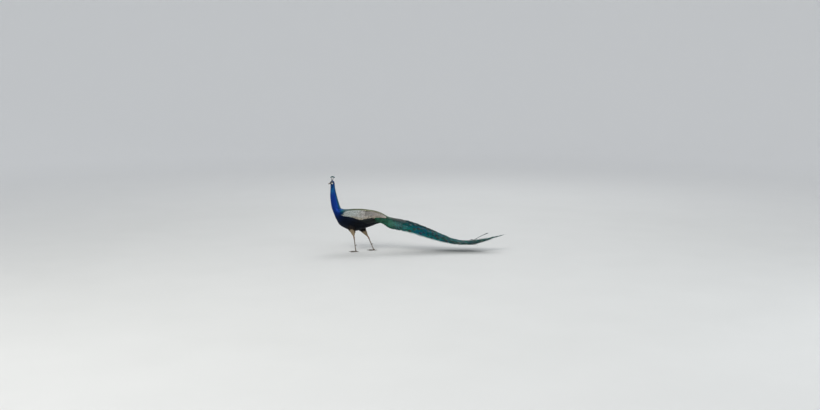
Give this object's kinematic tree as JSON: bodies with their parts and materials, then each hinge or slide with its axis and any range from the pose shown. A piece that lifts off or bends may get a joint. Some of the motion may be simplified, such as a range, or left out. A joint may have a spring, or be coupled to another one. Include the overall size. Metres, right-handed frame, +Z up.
{
  "type": "peacock",
  "caption": "Life-size still model of an Indian peacock, walking with its neck upright and its long train carried low behind it.",
  "frame": {"origin": "on the floor, below the middle of the length from the bill's tip to the train's tip", "axes": "+X from the bill to the train's tip, +Y to the bird's right side, +Z up"},
  "size_m": [2.0023, 0.2784, 0.8489],
  "materials": {
    "blue_feathers": "feathered, satin",
    "dark_feathers": "feathered, satin",
    "barred_feathers": "feathered, satin",
    "flight_feathers": "feathered, satin",
    "train_feathers": "feathered, satin",
    "tail_feathers": "feathered, satin",
    "buff_feathers": "feathered, satin",
    "bare_leg": "scaly, matt",
    "horn": "horn, satin",
    "eye": "wet gloss"
  },
  "bodies": {
    "root": {"bill_lower": "horn", "bill_upper": "horn", "breast": "blue_feathers", "claw_left_hind": "horn", "claw_left_inner": "horn", "claw_left_middle": "horn", "claw_left_outer": "horn", "claw_right_hind": "horn", "claw_right_inner": "horn", "claw_right_middle": "horn", "claw_right_outer": "horn", "crest": "blue_feathers", "eye_left": "eye", "eye_right": "eye", "foot_left": "bare_leg", "foot_right": "bare_leg", "head": "blue_feathers", "neck_lower": "blue_feathers", "neck_middle": "blue_feathers", "neck_upper": "blue_feathers", "rump": "train_feathers", "shank_left": "bare_leg", "shank_right": "bare_leg", "spur_left": "horn", "spur_right": "horn", "tail": "tail_feathers", "thigh_left": "buff_feathers", "thigh_right": "buff_feathers", "train_left_1": "train_feathers", "train_left_2": "train_feathers", "train_left_3": "train_feathers", "train_left_4": "train_feathers", "train_middle": "train_feathers", "train_right_1": "train_feathers", "train_right_2": "train_feathers", "train_right_3": "train_feathers", "train_right_4": "train_feathers", "trunk": "dark_feathers", "wing_left_coverts": "barred_feathers", "wing_left_flight": "flight_feathers", "wing_left_tertials": "barred_feathers", "wing_right_coverts": "barred_feathers", "wing_right_flight": "flight_feathers", "wing_right_tertials": "barred_feathers"}
  },
  "joints": []
}
